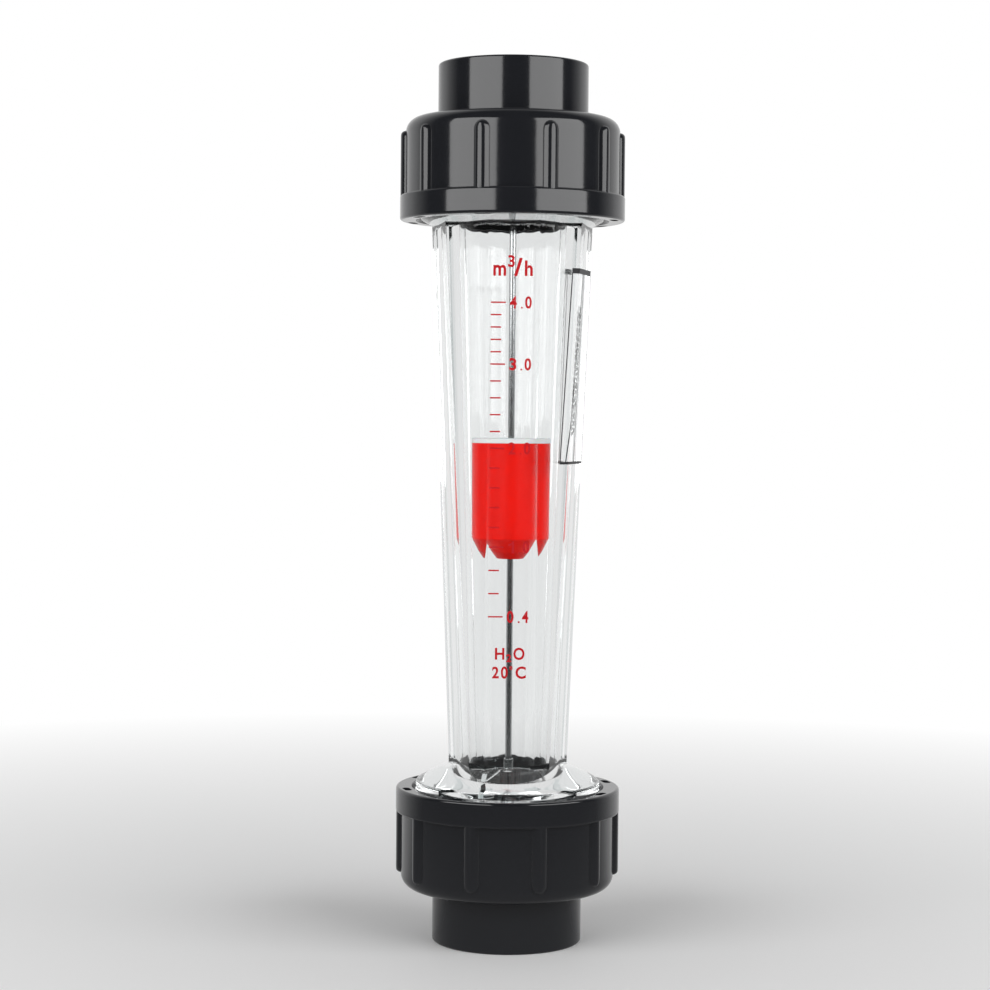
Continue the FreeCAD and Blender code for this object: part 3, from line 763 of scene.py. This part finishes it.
def scaleFigures():
    # the figures beside the long ticks, then the unit and the fluid
    p = scalePrint
    glyphs = []
    for figure, middle in p["marks"]:
        for place, (character, (left, right)) in enumerate(zip(figure, p["figureBoxes"])):
            foot, top = middle - p["figureHeight"] / 2, middle + p["figureHeight"] / 2
            if character == ".":
                top = foot + p["dotHeight"]
            if character == "0" and place == 0:
                left, right = p["narrowZero"]
            if character == "1":
                glyphs.append(figureOne(*p["narrowOne"], foot, top))
            else:
                glyphs.append(glyphMesh(character, left, right, foot, top))
    glyphs += [glyphMesh(*word) for word in p["words"]]
    return glyphs


def mergeParts(name, parts, place):
    # many (points, faces) as one piece, with place laying the flat points on the wall
    points, faces, start = [], [], 0
    for partPoints, partFaces in parts:
        points.append(partPoints)
        faces += [tuple(i + start for i in f) for f in partFaces]
        start += len(partPoints)
    return closedPiece(name, place(np.concatenate(points)), faces, weld=True)


# side label: a clear film with a black ruled frame and broken lines in place of small print;
# places across the film are counted from its front edge
labelShape = {
    "foot": 160.3, "top": 224.9, "footMargin": 0.2, "topMargin": 0.1,
    "frontOverhang": (3.6, 3.1),  # past the front shoulder, at foot and top
    "overhang": 1.0,  # past the back one
    "filmLift": 0.01, "film": 0.12, "inkLift": 0.13, "inkFilm": 0.05, "cornerBlend": 0.6,
    "inset": 0.1, "bar": 1.75, "line": 0.4, "ruleAt": 9.6, "frameEnd": 19.0,
    "crease": (2.4, 8.4),  # a leaning line, at foot and top
    "columns": [3.9, 5.2, 6.5, 7.8], "columnLine": 0.6,
    "textSpan": (7.0, 54.0), "ragged": (6, 4),  # above the foot; how much shorter each end may be
    "word": (0.7, 2.4), "space": 0.5,
}


def labelPath(height):
    # right-hand side of the section, from before the front shoulder to just past the back one
    corners = sectionCorners(np.atleast_1d(height))
    frontEdge, shoulder, side = corners[:, 8], corners[:, 9], corners[:, 0]
    backShoulder, backEdge = corners[:, 1], corners[:, 2]

    def unit(v):
        return v / np.linalg.norm(v, axis=-1, keepdims=True)

    d = labelShape
    share = (np.atleast_1d(height) - d["foot"]) / (d["top"] - d["foot"])
    reach = d["frontOverhang"][0] + (d["frontOverhang"][1] - d["frontOverhang"][0]) * share
    start = shoulder + unit(frontEdge - shoulder) * reach[:, None]
    end = backShoulder + unit(backEdge - backShoulder) * d["overhang"]
    return np.stack([start, shoulder, side, backShoulder, end], 1)


def onLabel(points):
    # (along the film from its front edge, height, out) to a place on the wall
    path = labelPath(points[:, 1])
    steps = np.diff(path, axis=1)
    lengths = np.linalg.norm(steps, axis=-1)
    starts = np.concatenate([np.zeros((len(points), 1)), np.cumsum(lengths, 1)], 1)
    along = np.clip(points[:, 0], 0, starts[:, -1])
    index = np.clip(np.sum(along[:, None] >= starts[:, 1:-1], 1), 0, 3)
    pick = np.arange(len(points))
    share = (along - starts[pick, index]) / lengths[pick, index]
    spot = path[pick, index] + steps[pick, index] * share[:, None]
    direction = steps / lengths[..., None]
    normal = np.stack([direction[..., 1], -direction[..., 0]], -1)
    # normals turn smoothly over a short way before each corner
    blend = labelShape["cornerBlend"]
    towardNext = np.clip(1 - (starts[pick, index + 1] - along) / blend, 0, 1) * 0.5
    towardLast = np.clip(1 - (along - starts[pick, index]) / blend, 0, 1) * 0.5
    following = normal[pick, np.minimum(index + 1, 3)]
    previous = normal[pick, np.maximum(index - 1, 0)]
    mean = normal[pick, index] * (1 - towardNext - towardLast)[:, None]
    mean = mean + following * towardNext[:, None] + previous * towardLast[:, None]
    mean = mean / np.linalg.norm(mean, axis=-1, keepdims=True)
    return np.c_[spot + mean * points[:, 2:3], points[:, 1]]


def filmPatch(left, right, foot, top, low, high, step=0.5, lean=0.0):
    # a closed thin patch of film, fine enough to bend over the tube's edges; its top lies further
    # along by the lean
    across = np.linspace(left, right, max(int((right - left) / step), 1) + 1)
    # short ones are straight, long ones follow the taper, and leaning ones cross the edges
    up = np.linspace(foot, top, 2 if top - foot < 3 else 65 if lean else 9)
    a, u = np.meshgrid(across, up, indexing="ij")
    a = a + lean * (u - foot) / (top - foot)
    ring = []
    for level in (low, high):
        ring.append(np.stack([a.ravel(), u.ravel(), np.full(a.size, level)], -1))
    rows, columns = len(across), len(up)
    face = []
    for i in range(rows - 1):
        for j in range(columns - 1):
            here, there = i * columns + j, (i + 1) * columns + j
            face.append((here, there, there + 1, here + 1))
    half = rows * columns
    faces = face + [tuple(v + half for v in f[::-1]) for f in face]
    edge = [i * columns for i in range(rows)]
    edge += [(rows - 1) * columns + j for j in range(1, columns)]
    edge += [i * columns + columns - 1 for i in range(rows - 2, -1, -1)]
    edge += list(range(columns - 2, 0, -1))
    for here, there in zip(edge, edge[1:] + edge[:1]):
        faces.append((here, there, there + half, here + half))
    return np.concatenate(ring), faces


def labelWidth(height):
    # how far round the wall the film reaches
    path = labelPath(height)
    return float(np.sum(np.linalg.norm(np.diff(path, axis=1), axis=-1)))


def makeLabelFilm():
    # one patch as wide as the narrower end allows
    d = labelShape
    width = min(labelWidth(d["foot"]), labelWidth(d["top"]))
    film = filmPatch(0.0, width, d["foot"], d["top"], d["filmLift"], d["film"])
    return mergeParts("labelFilm", [film], onLabel)


def makeLabelInk():
    # a ruled frame with a leaning line, and broken lines where the small print runs
    d = labelShape
    low, high = d["inkLift"], d["inkLift"] + d["inkFilm"]
    foot, top = d["foot"] + d["footMargin"], d["top"] - d["topMargin"]
    lineFoot, lineTop = foot + d["bar"] / 2, top - d["bar"]
    start, end = d["inset"], d["frameEnd"]
    patches = [(start, end, lineTop, top), (start, end, foot, lineFoot)]
    for left in (start, d["ruleAt"], end - d["line"]):
        patches.append((left, left + d["line"], lineFoot, lineTop))
    chance = np.random.default_rng(5)
    for column in d["columns"]:
        at = d["foot"] + d["textSpan"][0] + chance.uniform(0, d["ragged"][0])
        stop = d["foot"] + d["textSpan"][1] - chance.uniform(0, d["ragged"][1])
        while at < stop:
            length = chance.uniform(*d["word"])
            right = column + d["columnLine"] * chance.uniform(0.7, 1)
            patches.append((column, right, at, at + length))
            at += length + d["space"]
    parts = [filmPatch(*patch, low, high) for patch in patches]
    crease, creaseTop = d["crease"]
    parts.append(filmPatch(crease, crease + d["line"], lineFoot, lineTop, low, high,
                           lean=creaseTop - crease))
    return mergeParts("labelInk", parts, onLabel)


def mouldedBlack():
    # glossy black ABS, injection moulded: a hard polished skin with very faint flow waviness, about
    # 11 mm long, and dust, drawn at half a millimetre so that it shows
    material, tree, output = startMaterial("mouldedBlackAbs")
    place = addNode(tree, "ShaderNodeTexCoord").outputs["Object"]
    wavy = addNode(tree, "ShaderNodeTexNoise", {"Scale": perSize(11.1), "Detail": 2.0},
                   {"Vector": place})
    fine = addNode(tree, "ShaderNodeTexNoise", {"Scale": perSize(0.4545), "Detail": 3.0},
                   {"Vector": place})
    rough = addNode(tree, "ShaderNodeMapRange", {
        "From Min": 0.3, "From Max": 0.75, "To Min": 0.09, "To Max": 0.14},
        {"Value": fine.outputs["Fac"]})
    bump = addNode(tree, "ShaderNodeBump", {"Strength": 0.06, "Distance": 0.4 * mm},
                   {"Height": wavy.outputs["Fac"]})
    shader = addNode(tree, "ShaderNodeBsdfPrincipled", {
        "Base Color": linear("16171a"), "IOR": 1.52},
        {"Roughness": rough.outputs["Result"], "Normal": bump.outputs["Normal"]})
    finishSurface(tree, output, shader)
    return material


def clearAcrylic():
    # polished clear PMMA, injection moulded: lamps reach what is inside through it, and light
    # trapped in the wall leaves it after three reflections
    material, tree, output = startMaterial("clearAcrylic")
    glass = addNode(tree, "ShaderNodeBsdfPrincipled", {
        "Base Color": linear("f6f7f7"), "Roughness": 0.015, "IOR": 1.49,
        "Transmission Weight": 1.0})
    through = addNode(tree, "ShaderNodeBsdfTransparent", {"Color": linear("f4f6f6")})
    path = addNode(tree, "ShaderNodeLightPath")
    trapped = addNode(tree, "ShaderNodeMath", {"operation": "GREATER_THAN", 1: 2.5},
                      {0: path.outputs["Glossy Depth"]})
    passing = addNode(tree, "ShaderNodeMath", {"operation": "MAXIMUM"},
                      {0: trapped.outputs[0], 1: path.outputs["Is Shadow Ray"]})
    mix = addNode(tree, "ShaderNodeMixShader", links={
        0: passing.outputs[0], 1: glass.outputs[0], 2: through.outputs[0]})
    finishSurface(tree, output, mix)
    return material


def mouldedRed():
    # red ABS float, injection moulded: dense even colour, clouded very slightly every 8 mm, and a
    # soft gloss
    material, tree, output = startMaterial("mouldedRedAbs")
    place = addNode(tree, "ShaderNodeTexCoord").outputs["Object"]
    cloud = addNode(tree, "ShaderNodeTexNoise", {"Scale": perSize(8.33), "Detail": 2.0},
                    {"Vector": place})
    colour = addNode(tree, "ShaderNodeValToRGB", links={"Fac": cloud.outputs["Fac"]})
    colour.color_ramp.elements[0].color = linear("d80c02")
    colour.color_ramp.elements[1].color = linear("e01004")
    shader = addNode(tree, "ShaderNodeBsdfPrincipled", {
        "Roughness": 0.2, "Specular IOR Level": 0.22},
        {"Base Color": colour.outputs["Color"]})
    finishSurface(tree, output, shader)
    return material


def naturalWhite():
    # natural PP lid and sleeve, moulded: milky, light gets into it, gloss uneven every 3 mm
    material, tree, output = startMaterial("naturalPolypropylene")
    place = addNode(tree, "ShaderNodeTexCoord").outputs["Object"]
    cloud = addNode(tree, "ShaderNodeTexNoise", {"Scale": perSize(3.33), "Detail": 2.0},
                    {"Vector": place})
    rough = addNode(tree, "ShaderNodeMapRange", {"To Min": 0.3, "To Max": 0.42},
                    {"Value": cloud.outputs["Fac"]})
    shader = addNode(tree, "ShaderNodeBsdfPrincipled", {
        "Base Color": linear("f1f2f2"), "IOR": 1.49, "Subsurface Weight": 0.3,
        "Subsurface Scale": 2 * mm, "Transmission Weight": 0.35},
        {"Roughness": rough.outputs["Result"]})
    finishSurface(tree, output, shader)
    return material


def groundSteel(name, shade, axial):
    # stainless bar, drawn and ground: scratches 0.11 mm wide, coarser than real so that they show,
    # and 17 mm long; they run along the bar where it is drawn and round it where it is turned
    material, tree, output = startMaterial(name)
    place = addNode(tree, "ShaderNodeTexCoord").outputs["Object"]
    across, along = perSize(0.1111), perSize(16.67)
    stretch = (across, across, along) if axial else (along, along, across)
    grain = addNode(tree, "ShaderNodeMapping", {"Scale": stretch}, {"Vector": place})
    scratch = addNode(tree, "ShaderNodeTexNoise", {"Scale": 1.0, "Detail": 3.0},
                      {"Vector": grain.outputs["Vector"]})
    rough = addNode(tree, "ShaderNodeMapRange", {"To Min": 0.08, "To Max": 0.2},
                    {"Value": scratch.outputs["Fac"]})
    bump = addNode(tree, "ShaderNodeBump", {"Strength": 0.1, "Distance": 0.01 * mm},
                   {"Height": scratch.outputs["Fac"]})
    shader = addNode(tree, "ShaderNodeBsdfPrincipled", {
        "Base Color": linear(shade), "Metallic": 1.0},
        {"Roughness": rough.outputs["Result"], "Normal": bump.outputs["Normal"]})
    finishSurface(tree, output, shader)
    return material


def sealRubber():
    # nitrile rubber, compression moulded: matt, with a bloom in patches of just over a millimetre
    material, tree, output = startMaterial("nitrileRubber")
    place = addNode(tree, "ShaderNodeTexCoord").outputs["Object"]
    bloom = addNode(tree, "ShaderNodeTexNoise", {"Scale": perSize(1.25), "Detail": 3.0},
                    {"Vector": place})
    rough = addNode(tree, "ShaderNodeMapRange", {"To Min": 0.55, "To Max": 0.75},
                    {"Value": bloom.outputs["Fac"]})
    shader = addNode(tree, "ShaderNodeBsdfPrincipled", {"Base Color": linear("1c1c1c")},
                     {"Roughness": rough.outputs["Result"]})
    finishSurface(tree, output, shader)
    return material


def printInk(name, shade):
    # screen-printing ink: a thin dull film, uneven at the 0.2 mm of the screen's mesh
    material, tree, output = startMaterial(name)
    place = addNode(tree, "ShaderNodeTexCoord").outputs["Object"]
    grain = addNode(tree, "ShaderNodeTexNoise", {"Scale": perSize(0.2), "Detail": 2.0},
                    {"Vector": place})
    rough = addNode(tree, "ShaderNodeMapRange", {"To Min": 0.35, "To Max": 0.55},
                    {"Value": grain.outputs["Fac"]})
    shader = addNode(tree, "ShaderNodeBsdfPrincipled", {
        "Base Color": linear(shade), "Specular IOR Level": 0.25},
        {"Roughness": rough.outputs["Result"]})
    finishSurface(tree, output, shader)
    return material


def clearFilm():
    # clear polyester label film: almost invisible, a little milky from glue in patches under 2 mm
    material, tree, output = startMaterial("polyesterFilm")
    place = addNode(tree, "ShaderNodeTexCoord").outputs["Object"]
    glue = addNode(tree, "ShaderNodeTexNoise", {"Scale": perSize(1.667), "Detail": 2.0},
                   {"Vector": place})
    rough = addNode(tree, "ShaderNodeMapRange", {"To Min": 0.12, "To Max": 0.2},
                    {"Value": glue.outputs["Fac"]})
    shader = addNode(tree, "ShaderNodeBsdfPrincipled", {
        "Base Color": linear("f2f3f3"), "Alpha": 0.1, "IOR": 1.5},
        {"Roughness": rough.outputs["Result"]})
    finishSurface(tree, output, shader)
    return material


print("building the meter")
black = mouldedBlack()
acrylic = clearAcrylic()
red = mouldedRed()
white = naturalWhite()
rodSteel = groundSteel("groundStainless", "b4b5b6", True)
turnedSteel = groundSteel("turnedStainless", "a8a9aa", False)
rubber = sealRubber()
redInk = printInk("redScreenInk", "b20a16")
blackInk = printInk("blackLabelInk", "2a2a2c")
film = clearFilm()

tube = makeTube()
tube = combine(tube, makeLowerGuide(), "UNION")
shadeByAngle(tube, 30)
dress(tube, acrylic, "tube", ["measuring_tube"])
print("tube:", len(tube.data.polygons), "faces")

dress(makeNut("lowerUnionNut", True), black, "lower_nut", ["lower_union_nut"])
dress(makeNut("upperUnionNut", False), black, "upper_nut", ["upper_union_nut"])
dress(makeConnector("lowerEndConnector", True), black, "inlet_end",
      ["lower_end_connector"])
dress(makeConnector("upperEndConnector", False), black, "outlet_end",
      ["upper_end_connector"])
print("unions built")

dress(makeFloatBody(), red, "float", ["float_body"])
dress(makeFloatCap(), white, "float", ["float_cap"])
dress(makeFloatSleeve(), white, "float", ["float_guide_sleeve"])
dress(makeRod(), rodSteel, "tube", ["guide_rod"])
print("float and rod built")

scale = mergeParts("scalePrint", scaleTicks() + scaleFigures(), frontFace)
dress(scale, redInk, "tube")
dress(makeLabelFilm(), film, "tube", ["side_label"])
dress(makeLabelInk(), blackInk, "tube")
print("print and label laid on")

dress(makeRodHolder(), black, "tube", ["upper_rod_holder"])
hiddenNodes = {"lower_seal_ring": rubber, "upper_seal_ring": rubber, "float_weight": turnedSteel}
for node, material in hiddenNodes.items():  # these keep the frame's own meshes
    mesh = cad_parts[node].data
    mesh.materials.clear()
    mesh.materials.append(material)
print("holder and hidden pieces finished")


# floor, room and lamps, with lengths in metres; what mirrors see is given by the sine of the
# bearing, -1 on the viewer's side and 1 behind the meter, as (dark up to, bright from)
studio = {
    "floorSize": 6.0, "floorShade": "f4f4f4", "openFloor": (0.08, 0.6),
    "ambient": 0.22, "frontGloom": 0.05, "floorGloom": 0.3,
    "mirrorSees": (0.1, 0.6), "insideSees": (-0.5, 0.1), "mirroredOnce": 0.86, "mirroredTwice": 0.8,
    "softboxDistance": 1.6, "softboxRadiance": 4.0,
    "softboxes": [  # azimuth, elevation, width and height in degrees
        (-43.5, 21.5, 53.0, 37.0), (52.0, 21.5, 56.0, 37.0),
    ],
}

plainWhite = (1.0, 1.0, 1.0, 1.0)

# the camera, in metres and degrees
view = {
    "distance": 0.801, "eyeHeight": 0.179, "azimuth": 1.77, "aimLeft": 0.36, "pitch": 2.094,
    "roll": 0.49, "lens": 86.98,
}


def brightShare(tree, path, bearing):
    # how far a direction lies on the bright side of the room: all of it for unmirrored rays; a
    # mirror on the outside sees only what is behind the meter, one behind the clear wall all but
    # the viewer's side, and what the wall mirrors twice is evenly pale
    once, twice = studio["mirroredOnce"], studio["mirroredTwice"]
    plain, inside = [
        addNode(tree, "ShaderNodeMapRange", {"From Min": low, "From Max": high, "To Max": once},
                {"Value": bearing}) for low, high in (studio["mirrorSees"], studio["insideSees"])]
    through = addNode(tree, "ShaderNodeMath", {"operation": "GREATER_THAN", 1: 0.5},
                      {0: path.outputs["Transmission Depth"]})
    mirror = addNode(tree, "ShaderNodeMath", {"operation": "COMPARE", 1: 1.0, 2: 0.5},
                     {0: path.outputs["Glossy Depth"]})
    share = addNode(tree, "ShaderNodeMix", {"data_type": "FLOAT"}, {
        0: through.outputs[0], 2: plain.outputs["Result"], 3: inside.outputs["Result"]})
    often = addNode(tree, "ShaderNodeMapRange", {"From Max": 2.0, "To Min": 1.0, "To Max": twice},
                    {"Value": path.outputs["Glossy Depth"]})
    bright = addNode(tree, "ShaderNodeMix", {"data_type": "FLOAT"}, {
        0: mirror.outputs[0], 2: often.outputs["Result"], 3: share.outputs[0]})
    return bright.outputs[0]


def notDiffuse(tree, path):
    # 1 for rays that no matt surface has scattered yet, and 0 for the light those gather
    return addNode(tree, "ShaderNodeMath", {"operation": "LESS_THAN", 1: 0.5},
                   {0: path.outputs["Diffuse Depth"]})


def paleFloorMaterial():
    # white floor that keeps the meter's shadow and opens into plain white further out; mirrors see
    # it dark on the viewer's side, like the room
    material, tree, output = startMaterial("paleFloor")
    place = addNode(tree, "ShaderNodeTexCoord")
    flat = addNode(tree, "ShaderNodeVectorMath", {"operation": "MULTIPLY", 1: (1.0, 1.0, 0.0)},
                   {0: place.outputs["Object"]})
    away = addNode(tree, "ShaderNodeVectorMath", {"operation": "LENGTH"}, {0: flat.outputs[0]})
    near, far = studio["openFloor"]
    opening = addNode(tree, "ShaderNodeMapRange", {"From Min": near, "From Max": far},
                      {"Value": away.outputs["Value"]})
    path = addNode(tree, "ShaderNodeLightPath")
    direct = notDiffuse(tree, path)
    share = addNode(tree, "ShaderNodeMath", {"operation": "MULTIPLY"},
                    {0: opening.outputs["Result"], 1: direct.outputs[0]})
    ground = addNode(tree, "ShaderNodeBsdfPrincipled", {
        "Base Color": linear(studio["floorShade"]), "Roughness": 0.6, "Specular IOR Level": 0.2})
    glow = addNode(tree, "ShaderNodeEmission", {"Color": plainWhite, "Strength": 1.0})
    lit = addNode(tree, "ShaderNodeMixShader", links={
        0: share.outputs[0], 1: ground.outputs[0], 2: glow.outputs[0]})
    parts = addNode(tree, "ShaderNodeSeparateXYZ", links={0: place.outputs["Object"]})
    bearing = addNode(tree, "ShaderNodeMath", {"operation": "DIVIDE"},
                      {0: parts.outputs["Y"], 1: away.outputs["Value"]})
    dimness = addNode(tree, "ShaderNodeMix", {
        "data_type": "FLOAT", 2: studio["floorGloom"], 3: studio["frontGloom"]},
        {0: opening.outputs["Result"]})
    dim = addNode(tree, "ShaderNodeEmission", {"Color": plainWhite},
                  {"Strength": dimness.outputs[0]})
    final = addNode(tree, "ShaderNodeMixShader", links={
        0: brightShare(tree, path, bearing.outputs[0]), 1: dim.outputs[0], 2: lit.outputs[0]})
    finishSurface(tree, output, final)
    return material


def makeFloor():
    # one square sheet under the meter
    half = studio["floorSize"] / 2 / mm
    points = [(-half, -half, 0), (half, -half, 0), (half, half, 0), (-half, half, 0)]
    floor = meshPiece("floor", points, [(0, 1, 2, 3)])
    floor.data.materials.append(paleFloorMaterial())


def makeWorld():
    # white where seen directly or through the tube, and behind the meter; mirrors see a dark
    # viewer's side, and matt surfaces gather only the ambient share
    world = bpy.data.worlds.new("studio")
    bpy.context.scene.world = world
    world.use_nodes = True
    tree = world.node_tree
    tree.nodes.clear()
    output = tree.nodes.new("ShaderNodeOutputWorld")
    place = addNode(tree, "ShaderNodeTexCoord")
    parts = addNode(tree, "ShaderNodeSeparateXYZ", links={0: place.outputs["Generated"]})
    path = addNode(tree, "ShaderNodeLightPath")
    seen = addNode(tree, "ShaderNodeMix", {"data_type": "FLOAT", 2: studio["frontGloom"], 3: 1.0},
                   {0: brightShare(tree, path, parts.outputs["Y"])})
    direct = notDiffuse(tree, path)
    strength = addNode(tree, "ShaderNodeMix", {"data_type": "FLOAT", 2: studio["ambient"]},
                       {0: direct.outputs[0], 3: seen.outputs[0]})
    sky = addNode(tree, "ShaderNodeBackground", {"Color": plainWhite},
                  {"Strength": strength.outputs[0]})
    tree.links.new(sky.outputs[0], output.inputs["Surface"])


def makeSoftbox(name, azimuth, elevation, width, height):
    # a rectangle that fills the given angles, turned to face the meter's axis
    distance = studio["softboxDistance"]
    light = bpy.data.lights.new(name, "AREA")
    light.shape = "RECTANGLE"
    light.size = 2 * distance * math.tan(math.radians(width / 2))
    light.size_y = 2 * distance * math.tan(math.radians(height / 2))
    light.energy = studio["softboxRadiance"] * math.pi * light.size * light.size_y
    turn = math.radians(azimuth - view["azimuth"])
    rise = math.tan(math.radians(elevation)) * distance
    spot = Vector((distance * math.sin(turn), -distance * math.cos(turn), view["eyeHeight"] + rise))
    lamp = bpy.data.objects.new(name, light)
    bpy.context.scene.collection.objects.link(lamp)
    lamp.location = spot
    flatAim = Vector((0, 0, spot.z)) - spot
    lamp.rotation_euler = flatAim.to_track_quat("-Z", "Y").to_euler()


def makeCamera():
    # on a circle round the axis, then headed, pitched and rolled
    camera = bpy.data.cameras.new("camera")
    camera.lens = view["lens"]
    camera.sensor_width = 36.0
    carrier = bpy.data.objects.new("camera", camera)
    bpy.context.scene.collection.objects.link(carrier)
    side = math.radians(view["azimuth"])
    spot = Vector((-math.sin(side), -math.cos(side), 0)) * view["distance"]
    heading = -side + math.radians(view["aimLeft"])
    turn = (Matrix.Rotation(heading, 4, "Z")
            @ Matrix.Rotation(math.radians(90 - view["pitch"]), 4, "X")
            @ Matrix.Rotation(math.radians(view["roll"]), 4, "Z"))
    carrier.matrix_world = Matrix.Translation(spot + Vector((0, 0, view["eyeHeight"]))) @ turn
    bpy.context.scene.camera = carrier


makeFloor()
makeWorld()
for number, box in enumerate(studio["softboxes"]):
    makeSoftbox(f"softbox{number + 1}", *box)
makeCamera()
bpy.context.scene.view_settings.view_transform = "Standard"
print("studio set")
